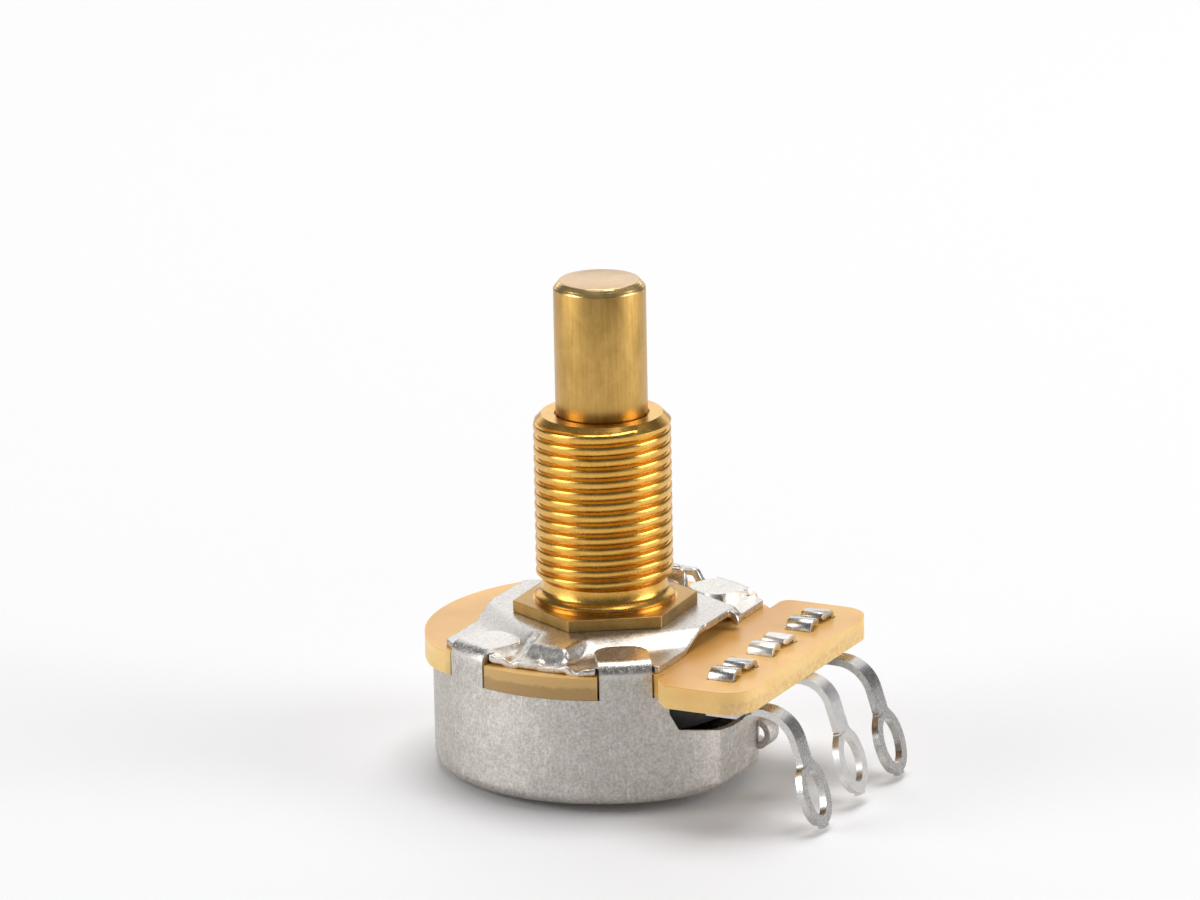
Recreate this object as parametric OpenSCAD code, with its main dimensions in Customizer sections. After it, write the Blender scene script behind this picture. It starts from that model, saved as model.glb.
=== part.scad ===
// Rotary potentiometer with a threaded brass bushing, a plain round shaft,
// a folded sheet can and three bent solder lugs.
// The frame: Z runs up along the shaft, Z = 0 is the back of the can,
// the solder lugs point to -Y. All sizes are in millimetres.

/* [Shaft] */
// Diameter of the turning shaft
shaft_d = 6.35; // [5:0.05:7]
// Length of shaft that stands out of the bushing
shaft_out = 9.38; // [4:0.1:30]
// Chamfer at the free end of the shaft
shaft_chamfer = 0.5; // [0.2:0.05:0.8]
// Gap all round between the shaft and the bore of the bushing
run_gap = 0.04; // [0.02:0.01:0.08]

/* [Bushing] */
// Outside diameter of the thread
bush_d = 9.5; // [9:0.05:10.5]
// Length of the bushing above the hexagon
bush_len = 13.17; // [6:0.1:20]
// Chamfer at the free end of the bushing
bush_chamfer = 0.5; // [0.2:0.05:0.8]
// Width of the hexagon across its flats
hex_af = 11.11; // [11:0.05:12]
// Thickness of the hexagon
hex_t = 0.82; // [0.6:0.02:1.5]
// Angle that the hexagon is turned by
hex_turn = 2.9; // [0:0.1:30]

/* [Can] */
// Outside diameter of the can
can_d = 23.92; // [23.6:0.05:25]
// Height of the can up to the wafer
can_h = 7.6; // [7.4:0.1:10]
// Thickness of the sheet of the can and the plate
sheet_t = 0.5; // [0.4:0.05:0.6]
// Outside radius of the bottom edge of the can
can_corner = 0.9; // [0.7:0.05:1.2]
// Width of each folded tab
tab_w = 3.6; // [3:0.1:4.2]
// Length of each folded tab over the plate
tab_reach = 4; // [3:0.1:4.3]
// Angle of the tabs from the X axis
tab_deg = 30; // [28:0.5:32]
// Turn of the four tabs against the wafer
tab_turn = 2.7; // [0:0.1:4]

/* [Wafer] */
// Thickness of the wafer
wafer_t = 1.6; // [1.2:0.1:2]
// Radius of the round lobe opposite the lugs
lobe_r = 12.5; // [12.1:0.1:13.5]
// Width of the tail that carries the lugs
tail_w = 21.3; // [20.8:0.1:24]
// Length of the tail beyond the wall of the can
tail_out = 3.54; // [3.3:0.02:6]
// Corner radius of the tail
tail_corner = 2.2; // [1:0.1:3]

/* [Plate] */
// Width of the plate between its two open sides
plate_w = 16.2; // [15.6:0.1:17]
// Rise of the middle of the plate above its corners
bridge_rise = 0.9; // [0.8:0.05:1.2]
// Distance from the shaft axis to the locating lug
key_x = 7.9; // [7.6:0.05:8.4]
// Height of the locating lug above the face of the hexagon
key_rise = 0.35; // [0.2:0.05:2]
// Width of the locating lug
key_w = 4.2; // [2:0.1:5]

/* [Terminals] */
// Distance from one terminal to the next
pitch = 6.2; // [6:0.05:6.6]
// Width of each lug strip
strip_w = 1.5; // [1:0.1:2]
// Thickness of each terminal
strip_t = 0.5; // [0.4:0.05:0.6]
// Distance that the outer terminals hang below the wafer
outer_drop = 0.5; // [0.3:0.05:0.7]
// Inside bend radius of the outer lugs
bend_r = 2.4; // [1.5:0.1:3]
// Angle that the lugs are bent down by
bend_deg = 75; // [45:1:85]
// Length of the outer lugs after the bend
lug_len = 6; // [5.4:0.1:8]
// Outside width of the solder eyelet
eye_w = 3.1; // [2.6:0.1:3.6]
// Outside length of the solder eyelet
eye_len = 4.5; // [4:0.1:5]
// Width of the hole in the solder eyelet
hole_w = 1.4; // [1:0.1:1.6]
// Length of the hole in the solder eyelet
hole_len = 2.9; // [2.2:0.1:3.2]

/* [Inside] */
// Gap between the rotor and the wall of the can
rotor_gap = 1.9; // [1.8:0.02:2.4]
// Thickness of the rotor
rotor_t = 2.1; // [1.8:0.1:2.3]
// Angle between the two ends of the turn
turn_deg = 300; // [270:5:310]

/* [Hidden] */
$fn = 96;
eps = 0.01;
can_r = can_d / 2;
shaft_r = shaft_d / 2;
journal_r = shaft_r - 0.17;
bore_r = journal_r + run_gap;
can_ri = can_r - sheet_t;
wafer_z0 = can_h;
wafer_z1 = wafer_z0 + wafer_t;
foot_z1 = wafer_z1 + sheet_t;
deck_z1 = foot_z1 + bridge_rise;
deck_z0 = deck_z1 - sheet_t;
hex_z1 = deck_z1 + hex_t;
bush_z1 = hex_z1 + bush_len;
shaft_z1 = bush_z1 + shaft_out;
journal_z1 = bush_z1 + 0.1;
fold_r = sheet_t + 0.4;
notch_half = asin((tab_w / 2 + 0.1) / (can_r - fold_r));
tip_x = (can_r - tab_reach) * cos(tab_deg);
tip_y = (can_r - tab_reach) * sin(tab_deg);
deck_y = tip_y - 1.78;
foot_x = tip_x + 1.207;
top_x = tip_x - 0.193;
deck_end_x = top_x - (plate_w / 2 - deck_y) * 0.5424;
tail_end = can_r + tail_out;
tail_y = can_r * 0.744;
flat_y = can_r - 1.01;
side_flat = can_r - 1.5;
side_deg = 24.5;
spigot_r = bore_r + 1.155;
stake_r = spigot_r + 0.55;
stake_z0 = deck_z0 - 0.35;
centre_hole_r = stake_r + 0.15;
washer_t = 0.25;
ring_t = 0.55;
groove_r = shaft_r - 0.675;
washer_z1 = stake_z0 - 0.03;
ring_z1 = washer_z1 - washer_t - 0.02;
ring_z0 = ring_z1 - ring_t;
track_t = 0.1;
track_z0 = wafer_z0 - track_t;
rotor_r = can_ri - rotor_gap;
rotor_z1 = can_h - 1.2;
rotor_z0 = rotor_z1 - rotor_t;
drive_r = shaft_r - 0.775;
drive_flat = drive_r - 0.5;
ink_span = can_ri - centre_hole_r;
track_r1 = centre_hole_r + ink_span * 0.823;
track_r0 = centre_hole_r + ink_span * 0.533;
collector_r1 = centre_hole_r + ink_span * 0.29;
collector_r0 = centre_hole_r + ink_span * 0.076;
track_end = 46;
pad_end = 34;
pad_y = 2.5 - track_r1;
crimp_y0 = -tail_end + 1.7;
crimp_y1 = crimp_y0 + 2.3;
ear_y0 = crimp_y0 + 0.2;
ear_w = 1.9;
ear_x = 2;
ear_t = 0.45;
ear_z1 = wafer_z1 + 0.58;
cut_w = can_r * 0.68;
stop_x = 1;
stop_y = rotor_r - 0.8;
stop_z1 = rotor_z0 - 0.9;
arm_half = (360 - turn_deg) / 2 - asin(stop_x / stop_y) - 0.6;

tin = [0.74, 0.72, 0.69];
bright_tin = [0.8, 0.79, 0.76];
lug_tin = [0.78, 0.78, 0.78];
silver = [0.86, 0.86, 0.84];
steel = [0.62, 0.62, 0.64];
brass = [0.8, 0.6, 0.25];
pale_brass = [0.82, 0.68, 0.42];
bronze = [0.75, 0.55, 0.3];
amber = [0.88, 0.68, 0.4];
carbon = [0.09, 0.09, 0.1];

// Node to draw: all, or one name of the list

// A round disc with a rounded bottom edge
module rounded_can(r, h, c) {
  cylinder(r = r - c, h = h);
  translate([0, 0, c]) cylinder(r = r, h = h - c);
  translate([0, 0, c]) rotate_extrude() translate([r - c, 0]) circle(r = c, $fn = 48);
}

// The can shape with its two flattened walls, moved inwards by inset
module can_solid(inset, h) {
  intersection() {
    rounded_can(can_r - inset, h, can_corner - inset);
    translate([-20, -flat_y + inset, -1]) cube([40, 40, 30]);
    rotate([0, 0, side_deg]) translate([-20, -side_flat + inset, -1]) cube([40, 40, 30]);
  }
}

// Four copies at the angles of the tabs
module at_tabs() {
  for (a = [tab_deg, 180 - tab_deg, 180 + tab_deg, -tab_deg]) rotate([0, 0, a + tab_turn]) children();
}

// The plan of one tab, with a rounded free end
module tab_plan() {
  tip_r = 1.3;
  translate([can_r - tab_reach + tip_r, -tab_w / 2]) square([tab_reach, tab_w]);
  translate([can_r - tab_reach, -tab_w / 2 + tip_r]) square([tip_r + eps, tab_w - 2 * tip_r]);
  for (s = [-1, 1])
    translate([can_r - tab_reach + tip_r, s * (tab_w / 2 - tip_r)]) circle(r = tip_r, $fn = 48);
}

// The section of a wall that turns inwards over the plate
module fold_section() {
  r_out = fold_r;
  translate([can_ri, can_h - 1]) square([sheet_t, foot_z1 + sheet_t - r_out - can_h + 1]);
  translate([can_r - tab_reach - 0.5, foot_z1]) square([tab_reach + 0.5 - r_out, sheet_t]);
  translate([can_r - r_out, foot_z1 + sheet_t - r_out]) intersection() {
    difference() {
      circle(r = r_out, $fn = 48);
      circle(r = r_out - sheet_t, $fn = 48);
    }
    square([r_out, r_out]);
  }
}

// The turned-in wall all round, kept only where the four tabs are
module folded_tabs() {
  intersection() {
    rotate_extrude() fold_section();
    translate([0, 0, can_h - 1]) linear_extrude(height = 6) at_tabs() tab_plan();
  }
}

// Strap pressed out of the wall, open at its two sides
module wall_loop() {
  r = can_h * 0.171;
  out = 0.7;
  translate([-1.1, -flat_y - out, can_h * 0.39]) rotate([90, 0, 90]) difference() {
    union() {
      cylinder(r = r, h = 2.2);
      translate([0, -r, 0]) cube([out + sheet_t, 2 * r, 2.2]);
    }
    translate([0, 0, -1]) cylinder(r = r - sheet_t * 0.9, h = 5);
    translate([0, -r + sheet_t * 0.9, -1]) cube([out + 4, 2 * r - sheet_t * 1.8, 5]);
  }
}

module can() color(tin) {
  floor_slot = 2.6;
  difference() {
    can_solid(0, can_h);
    translate([0, 0, sheet_t]) can_solid(sheet_t, can_h);
    rotate([90, 0, 0]) linear_extrude(height = 30) polygon([
      [-cut_w - 0.2, can_h + 1], [-cut_w, can_h * 0.829], [-cut_w + 0.5, can_h * 0.671],
      [-cut_w * 0.6, can_h * 0.592], [-cut_w * 0.35, can_h * 0.553], [cut_w * 0.35, can_h * 0.553],
      [cut_w * 0.6, can_h * 0.592], [cut_w - 0.5, can_h * 0.671], [cut_w, can_h * 0.829],
      [cut_w + 0.2, can_h + 1]]);
    translate([-1.1, -can_r - 1, can_h * 0.219 + sheet_t * 0.9])
      cube([2.2, 2.6, can_h * 0.342 - sheet_t * 1.8]);
    translate([-stop_x, -stop_y + sheet_t / 2, -1]) cube([2 * stop_x, floor_slot, 3]);
  }
  folded_tabs();
  wall_loop();
  translate([-stop_x, -stop_y - sheet_t / 2, sheet_t - 0.2])
    cube([2 * stop_x, sheet_t, stop_z1 - sheet_t + 0.2]);
}

// The corners of the raised deck, which narrows from x_mid past the tips of the tabs
module deck_plan(x_mid, lean_left, lean_right, y_end) {
  x_left = x_mid - (plate_w / 2 - deck_y) * lean_left;
  x_right = x_mid - (plate_w / 2 - deck_y) * lean_right;
  polygon([[x_mid, deck_y], [x_right, y_end], [-x_left, y_end], [-x_mid, deck_y],
           [-x_mid, -deck_y], [-x_left, -y_end], [x_right, -y_end], [x_mid, -deck_y]]);
}

// The raised deck as a solid, from its foot up to z_top
module deck_solid(grow, z_low, z_top, y_end) {
  hull() {
    translate([0, 0, z_low]) linear_extrude(height = eps)
      deck_plan(foot_x + grow, 0.308, 0.4915, y_end);
    translate([0, 0, z_top - eps]) linear_extrude(height = eps)
      deck_plan(top_x + grow, 0.915, 0.5424, y_end);
  }
}

// Raised rib at the edge of the plate, closed at its outer end
module edge_rib(grow, z_top) {
  nose_r = 0.9 + grow;
  long = can_r - top_x - 0.9;
  translate([-can_r + 1.3 - grow, -2.05 - grow, 0]) {
    translate([nose_r, 0, wafer_z1 - 1]) cube([long - nose_r, 3.2 + 2 * grow, z_top - wafer_z1 + 1]);
    translate([0, 0, wafer_z1 - 1]) cube([long, 3.2 + 2 * grow, z_top - wafer_z1 + 1 - nose_r]);
    translate([nose_r, 0, z_top - nose_r]) rotate([-90, 0, 0]) cylinder(r = nose_r, h = 3.2 + 2 * grow);
  }
}

module plate_blank(z0, h) {
  translate([0, 0, z0]) difference() {
    intersection() {
      cylinder(r = can_r - 0.35, h = h);
      translate([-can_r + 0.85, -plate_w / 2, 0]) cube([2 * can_r - 1.7, plate_w, h]);
    }
    tab_notches(0, h);
  }
}

// Openings for the walls of the four tabs
module tab_notches(z0, h) {
  at_tabs() translate([0, 0, z0 - 1]) rotate([0, 0, -notch_half]) rotate_extrude(angle = 2 * notch_half)
    translate([can_r - fold_r, 0]) square([4, h + 2]);
}

module mounting_plate() color(bright_tin) {
  key_r = 0.9;
  difference() {
    union() {
      plate_blank(wafer_z1, sheet_t);
      intersection() {
        deck_solid(0, wafer_z1, deck_z1, plate_w / 2);
        translate([-12, -plate_w / 2, 0]) cube([24, plate_w, 30]);
      }
      intersection() {
        edge_rib(0, deck_z1);
        translate([-12, -3, wafer_z1 + 0.05]) cube([8, 6, 3]);
      }
    }
    translate([0, 0, -eps]) deck_solid(-0.36, wafer_z1 - 0.5, deck_z0 + eps, plate_w / 2 + 1);
    edge_rib(-0.42, deck_z1 - 0.42);
    translate([0, 0, wafer_z1 - 1]) cylinder(r = spigot_r, h = 5);
    translate([key_x, -2.5, wafer_z1 - 1]) cube([2.6, key_w, 5]);
  }
  translate([key_x - sheet_t, -2.5, wafer_z1]) {
    cube([sheet_t, key_w, hex_z1 + key_rise - key_r - wafer_z1]);
    translate([0, key_r, 0]) cube([sheet_t, key_w - 2 * key_r, hex_z1 + key_rise - wafer_z1]);
    for (y = [key_r, key_w - key_r])
      translate([0, y, hex_z1 + key_rise - key_r - wafer_z1]) rotate([0, 90, 0])
        cylinder(r = key_r, h = sheet_t);
  }
  translate([deck_end_x - 0.8, 0, 0]) rotate([90, 0, 90]) linear_extrude(height = 0.6)
    polygon([[-plate_w / 2 + 0.1, deck_z0], [-plate_w / 2 + 0.1, deck_z1], [-plate_w / 2 - 0.2, deck_z1],
             [-plate_w / 2 - 0.75, deck_z1 - 0.45], [-plate_w / 2 - 0.75, foot_z1 - 0.1],
             [-plate_w / 2 - 0.45, foot_z1 - 0.2], [-plate_w / 2 - 0.15, deck_z0]]);
}

module bushing() color(brass) {
  r = bush_d / 2;
  neck_r = r - 0.45;
  neck_z = hex_z1 + 1.9;
  difference() {
    union() {
      translate([0, 0, stake_z0]) cylinder(r = stake_r, h = deck_z0 - stake_z0);
      translate([0, 0, stake_z0]) cylinder(r = spigot_r, h = deck_z1 - stake_z0);
      translate([0, 0, deck_z1]) rotate([0, 0, hex_turn]) intersection() {
        cylinder(r = hex_af / sqrt(3), h = hex_t, $fn = 6);
        cylinder(r = hex_af / sqrt(3) - 0.07, h = hex_t);
      }
      translate([0, 0, hex_z1]) cylinder(r1 = r + 0.1, r2 = neck_r, h = 0.75);
      translate([0, 0, hex_z1]) cylinder(r = neck_r, h = neck_z - hex_z1);
      translate([0, 0, neck_z - 0.4]) cylinder(r1 = neck_r, r2 = r, h = 0.4);
      translate([0, 0, neck_z]) cylinder(r = r, h = bush_z1 - bush_chamfer - neck_z);
      translate([0, 0, bush_z1 - bush_chamfer]) cylinder(r1 = r, r2 = r - bush_chamfer, h = bush_chamfer);
    }
    translate([0, 0, stake_z0 - 1]) cylinder(r = bore_r, h = bush_z1);
    translate([0, 0, bush_z1 - 0.4]) cylinder(r1 = bore_r, r2 = shaft_r + 0.39, h = 0.41);
  }
}

module shaft() color(pale_brass) {
  difference() {
    union() {
      translate([0, 0, rotor_z1]) cylinder(r = journal_r, h = journal_z1 - rotor_z1);
      translate([0, 0, journal_z1]) cylinder(r = shaft_r, h = shaft_z1 - shaft_chamfer - journal_z1);
      translate([0, 0, shaft_z1 - shaft_chamfer])
        cylinder(r1 = shaft_r, r2 = shaft_r - shaft_chamfer * 0.85, h = shaft_chamfer);
      intersection() {
        translate([0, 0, rotor_z0 - 0.6]) cylinder(r = drive_r, h = rotor_z1 - rotor_z0 + 0.7);
        translate([-10, -drive_flat, 0]) cube([20, 2 * drive_flat, 30]);
      }
      translate([0, 0, rotor_z0 - 0.6]) cylinder(r1 = drive_r, r2 = drive_r + 0.5, h = 0.6);
    }
    translate([0, 0, ring_z0 - 0.03]) difference() {
      cylinder(r = shaft_r + 1, h = ring_t + 0.06);
      translate([0, 0, -1]) cylinder(r = groove_r, h = 3);
    }
  }
}

module thrust_washer() color(steel) {
  translate([0, 0, ring_z1 + 0.01]) difference() {
    cylinder(r = stake_r - 0.1, h = washer_t);
    translate([0, 0, -1]) cylinder(r = journal_r + 0.1, h = 3);
  }
}

module retaining_ring() color(steel) {
  translate([0, 0, ring_z0]) difference() {
    cylinder(r = stake_r - 0.35, h = ring_t);
    translate([0, 0, -1]) cylinder(r = groove_r, h = 3);
    translate([-groove_r * 0.8, 0, -1]) cube([groove_r * 1.6, 10, 3]);
  }
}

module tail_plan() {
  r = tail_corner;
  x = tail_w / 2;
  translate([-x, -tail_end + r]) square([2 * x, tail_end - r - tail_y]);
  translate([-x + r, -tail_end]) square([2 * x - 2 * r, r + 1]);
  for (s = [-1, 1]) translate([s * (x - r), -tail_end + r]) circle(r = r, $fn = 64);
  translate([-x + 0.8, -tail_y - 0.1]) square([2 * x - 1.6, 0.9]);
  for (s = [-1, 1]) translate([s * (x - 0.8), -tail_y]) circle(r = 0.8, $fn = 48);
}

module wafer() color(amber) {
  translate([0, 0, wafer_z0]) difference() {
    union() {
      cylinder(r = can_r - 0.02, h = wafer_t);
      intersection() {
        cylinder(r = lobe_r, h = wafer_t);
        translate([-20, can_r * sin(tab_deg + notch_half / 2), -1]) cube([40, 20, 4]);
      }
      linear_extrude(height = wafer_t) tail_plan();
    }
    tab_notches(0, wafer_t);
    translate([0, 0, -1]) cylinder(r = centre_hole_r, h = 5);
    for (x = [-pitch, 0, pitch], s = [-1, 1])
      translate([x + s * (ear_x - ear_t / 2) - ear_t / 2 - 0.05, ear_y0 - 0.08, -1])
        cube([ear_t + 0.1, ear_w + 0.16, 5]);
  }
}

module ring_sector(r0, r1, a0, a1, z0, h) {
  rotate([0, 0, a0]) rotate_extrude(angle = a1 - a0) translate([r0, z0]) square([r1 - r0, h]);
}

module resistive_track() color(carbon) {
  ring_sector(track_r0, track_r1, -90 + track_end, 270 - track_end, track_z0, track_t);
}

module end_pad(side) {
  mirror([side < 0 ? 1 : 0, 0, 0]) {
    ring_sector(track_r0, track_r1, -90 + pad_end, -90 + track_end, track_z0, track_t);
    translate([pitch - 1, crimp_y1 + 0.3, track_z0]) cube([2, pad_y - crimp_y1 - 0.3, track_t]);
  }
}

module collector_ring() color(silver) {
  ring_sector(collector_r0, collector_r1, 0, 360, track_z0, track_t);
  translate([-strip_w / 2, crimp_y1 + 0.6, track_z0])
    cube([strip_w, -crimp_y1 - 0.8 - collector_r0, track_t]);
}

// One ear that passes through the wafer and folds over it
module ear(z0, reach) {
  r_out = 0.65;
  translate([-ear_x, ear_y0, z0]) cube([ear_t, ear_w, ear_z1 - r_out - z0]);
  translate([-ear_x + r_out, ear_y0, ear_z1 - ear_t]) cube([reach - r_out, ear_w, ear_t]);
  translate([-ear_x + r_out, ear_y0, ear_z1 - r_out]) rotate([90, 0, 180])
    rotate_extrude(angle = 90) translate([r_out - ear_t, 0]) square([ear_t, ear_w]);
}

// A terminal around x = 0, with its top face at z_top
module terminal(z_top, inside_r, y_bend, length) {
  z_low = z_top - strip_t;
  eye_y = length - eye_len / 2;
  half = eye_len / 2 - eye_w / 2;
  hole_half = hole_len / 2 - hole_w / 2;
  translate([-ear_x, crimp_y0, z_low]) cube([2 * ear_x, crimp_y1 - crimp_y0, strip_t]);
  translate([-strip_w / 2, y_bend, z_low]) cube([strip_w, crimp_y1 + 0.6 - y_bend, strip_t]);
  ear(z_low, 2.25);
  mirror([1, 0, 0]) ear(z_low, 1.5);
  translate([0, y_bend, z_low - inside_r]) rotate([180, -90, 0]) {
    rotate_extrude(angle = bend_deg) translate([inside_r, -strip_w / 2]) square([strip_t, strip_w]);
    rotate([0, 0, bend_deg]) difference() {
      union() {
        translate([inside_r, -eps, -strip_w / 2]) cube([strip_t, length - eye_len + 0.8, strip_w]);
        translate([inside_r, eye_y - half, -eye_w / 2]) cube([strip_t, 2 * half, eye_w]);
        translate([inside_r, length - 0.3, -0.35]) cube([strip_t, 0.5, 0.7]);
        for (s = [-1, 1])
          translate([inside_r, eye_y + s * half, 0]) rotate([0, 90, 0]) cylinder(r = eye_w / 2, h = strip_t);
      }
      translate([inside_r - 1, eye_y - hole_half, -hole_w / 2]) cube([3, 2 * hole_half, hole_w]);
      for (s = [-1, 1])
        translate([inside_r - 1, eye_y + s * hole_half, 0]) rotate([0, 90, 0])
          cylinder(r = hole_w / 2, h = 3);
    }
  }
}

// An outer terminal, with its inner end stepped up against the end pad
module outer_terminal(x) {
  translate([x, 0, 0]) {
    terminal(wafer_z0 - outer_drop, bend_r, -tail_end + 0.8, lug_len);
    translate([-strip_w / 2, crimp_y1 + 0.5, wafer_z0 - outer_drop - strip_t])
      cube([strip_w, 1, outer_drop + strip_t - track_t]);
  }
}

module rotor() color(carbon) {
  difference() {
    union() {
      translate([0, 0, rotor_z0]) cylinder(r = rotor_r, h = rotor_t);
      ring_sector(stop_y - 0.6, rotor_r, 90 - arm_half, 90 + arm_half,
                  stop_z1 - 1.6, rotor_z0 - stop_z1 + 1.7);
    }
    intersection() {
      translate([0, 0, rotor_z0 - 1]) cylinder(r = drive_r, h = 5);
      translate([-10, -drive_flat, 0]) cube([20, 2 * drive_flat, 30]);
    }
    translate([0, 0, rotor_z1 - 0.5]) difference() {
      cylinder(r = rotor_r - 0.9, h = 1);
      translate([0, 0, -1]) cylinder(r = collector_r1 + 0.4, h = 3);
    }
  }
}

// One sprung finger from y0 outwards, with a rounded nose that rides under the wafer
module finger(y0, y_nose) {
  nose_r = 0.25;
  z_nose = track_z0 - 0.03 - nose_r;
  z_base = rotor_z1 + 0.13;
  rise = atan((z_nose - z_base) / (y_nose - y0));
  translate([-0.9, y0, z_base]) rotate([rise, 0, 0]) translate([0, 0, -0.1])
    cube([1.8, (y_nose - y0) / cos(rise), 0.2]);
  translate([-0.9, y_nose, z_nose]) rotate([0, 90, 0]) cylinder(r = nose_r, h = 1.8);
}

module contact_spring() color(bronze) {
  difference() {
    translate([0, 0, rotor_z1]) cylinder(r = collector_r1 + 0.2, h = 0.2);
    translate([0, 0, rotor_z1 - 1]) cylinder(r = shaft_r + 0.15, h = 3);
  }
  finger(collector_r1 - 0.3, (track_r0 + track_r1) / 2);
  mirror([0, 1, 0]) finger(shaft_r + 0.4, (collector_r0 + collector_r1) / 2);
}

module end_pad_left() color(silver) end_pad(-1);
module end_pad_right() color(silver) end_pad(1);
module terminal_left() color(lug_tin) outer_terminal(-pitch);
module terminal_right() color(lug_tin) outer_terminal(pitch);
module terminal_centre() color(silver) terminal(wafer_z0, bend_r - 0.4, -tail_end + 0.6, lug_len + 0.4);

can();
mounting_plate();
bushing();
shaft();
thrust_washer();
retaining_ring();
wafer();
resistive_track();
end_pad_left();
end_pad_right();
collector_ring();
terminal_left();
terminal_centre();
terminal_right();
rotor();
contact_spring();
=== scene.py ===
"""Rotary potentiometer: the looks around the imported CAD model.

Lengths named in millimetres are turned into metres by MM. The shaft stands along +Z, the back of
the can lies at Z = 0 and the solder lugs point to -Y.
"""

import math

import bpy
from mathutils import Matrix, Vector

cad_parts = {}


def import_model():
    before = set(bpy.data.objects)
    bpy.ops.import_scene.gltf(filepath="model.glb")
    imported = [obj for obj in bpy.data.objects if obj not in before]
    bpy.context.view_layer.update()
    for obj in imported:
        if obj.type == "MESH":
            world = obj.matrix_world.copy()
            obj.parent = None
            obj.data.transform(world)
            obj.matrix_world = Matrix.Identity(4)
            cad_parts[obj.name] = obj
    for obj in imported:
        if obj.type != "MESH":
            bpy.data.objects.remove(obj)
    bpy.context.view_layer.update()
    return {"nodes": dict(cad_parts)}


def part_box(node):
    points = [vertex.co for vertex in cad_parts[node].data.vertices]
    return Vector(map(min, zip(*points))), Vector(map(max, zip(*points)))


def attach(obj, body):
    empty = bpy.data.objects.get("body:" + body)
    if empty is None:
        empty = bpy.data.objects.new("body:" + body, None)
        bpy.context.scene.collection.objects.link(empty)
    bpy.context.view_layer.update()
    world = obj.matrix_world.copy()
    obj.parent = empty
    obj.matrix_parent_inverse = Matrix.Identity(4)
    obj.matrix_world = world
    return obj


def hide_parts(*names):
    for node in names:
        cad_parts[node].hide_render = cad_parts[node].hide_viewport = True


MM = 0.001
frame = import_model()
bpy.ops.object.select_all(action="DESELECT")


def low(node, axis):
    """The lowest place of a CAD node along an axis, in millimetres."""
    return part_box(node)[0][axis] / MM


def high(node, axis):
    """The highest place of a CAD node along an axis, in millimetres."""
    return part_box(node)[1][axis] / MM


# Driving dimensions in millimetres, as in the CAD source
SHEET = 0.5
BUSH_R = 4.75
BORE_R = 3.045
PITCH = 25.4 / 32
THREAD_DEPTH = 0.30
HEX_AF = 11.11
HEX_T = 0.82
HEX_TURN = 2.9
SHAFT_CHAMFER = 0.5
TAB_W = 3.6
TAB_ANGLES = (32.7, 152.7, 212.7, -27.3)
PLATE_W = 16.2
DECK_RISE = 0.9
WAFER_T = 1.6
LUG_PITCH = 6.2
STRIP_W = 1.5
EYE_W = 3.7
EYE_LEN = 4.5
HOLE_W = 2.2
HOLE_LEN = 3.2
BEND_DEG = 72.5
EAR_X = 1.775
EAR_W = 1.86

# Levels and radii that the frame gives
CAN_R = high("can", 0)
BUSH_TOP = high("bushing", 2)
SHAFT_TOP = high("shaft", 2)
WAFER_TOP = high("wafer", 2)
FOOT_TOP = WAFER_TOP + SHEET
DECK_TOP = FOOT_TOP + DECK_RISE
HEX_TOP = DECK_TOP + HEX_T
KEY_TOP = high("mounting_plate", 2)
NECK_R = BUSH_R - 0.45
NECK_TOP = HEX_TOP + 1.5

# A height that no piece reaches
FAR_OFF = 1000.0


# Modelling helpers
def only(obj):
    """Makes obj the one selected and active object."""
    bpy.ops.object.select_all(action="DESELECT")
    obj.select_set(True)
    bpy.context.view_layer.objects.active = obj
    return obj


def edit(obj):
    """Opens obj in edit mode with everything selected."""
    only(obj)
    bpy.ops.object.mode_set(mode="EDIT")
    bpy.ops.mesh.select_all(action="SELECT")


def done():
    """Goes back to object mode."""
    bpy.ops.object.mode_set(mode="OBJECT")


def modify(obj, kind, **settings):
    """Adds a modifier, sets it and applies it."""
    only(obj)
    m = obj.modifiers.new(kind.lower(), kind)
    for key, value in settings.items():
        setattr(m, key, value)
    bpy.ops.object.modifier_apply(modifier=m.name)
    return obj


def named(obj, name):
    """Names an object and its mesh."""
    obj.name = name
    obj.data.name = name
    return obj


def settle(obj):
    """Applies place, turn and scale, so that the object sits at the origin."""
    only(obj)
    bpy.ops.object.transform_apply(location=True, rotation=True, scale=True)
    return obj


def path(name, points, closed=False):
    """A chain of edges through points in millimetres, extruded on from a single corner."""
    bpy.ops.mesh.primitive_plane_add(size=MM, location=(0, 0, 0))
    obj = named(bpy.context.object, name)
    edit(obj)
    bpy.ops.mesh.merge(type="CENTER")
    at = Vector((0, 0, 0))
    for index, point in enumerate(points):
        move = Vector(point) * MM - at
        at = Vector(point) * MM
        if index == 0:
            bpy.ops.transform.translate(value=move)
        else:
            bpy.ops.mesh.extrude_region_move(TRANSFORM_OT_translate={"value": move})
    if closed:
        bpy.ops.mesh.select_all(action="SELECT")
        bpy.ops.mesh.edge_face_add()
    done()
    return obj


def outward(obj):
    """Merges doubled corners and turns every face outwards."""
    edit(obj)
    bpy.ops.mesh.remove_doubles(threshold=1e-7)
    bpy.ops.mesh.normals_make_consistent(inside=False)
    done()
    return obj


def lathe(name, profile, steps):
    """Turns a profile of (radius, height) around Z. Both ends lie on the axis."""
    obj = path(name, [(r, 0, z) for r, z in profile])
    modify(obj, "SCREW", axis="Z", steps=steps, render_steps=steps, angle=2 * math.pi,
           use_merge_vertices=True, merge_threshold=1e-7)
    return outward(obj)


def slab(name, points, z, height):
    """A plate with the given outline, from z up to z + height, in millimetres."""
    obj = path(name, [(x, y, z) for x, y in points], closed=True)
    edit(obj)
    bpy.ops.mesh.extrude_region_move(TRANSFORM_OT_translate={"value": (0, 0, height * MM)})
    done()
    return outward(obj)


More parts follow.
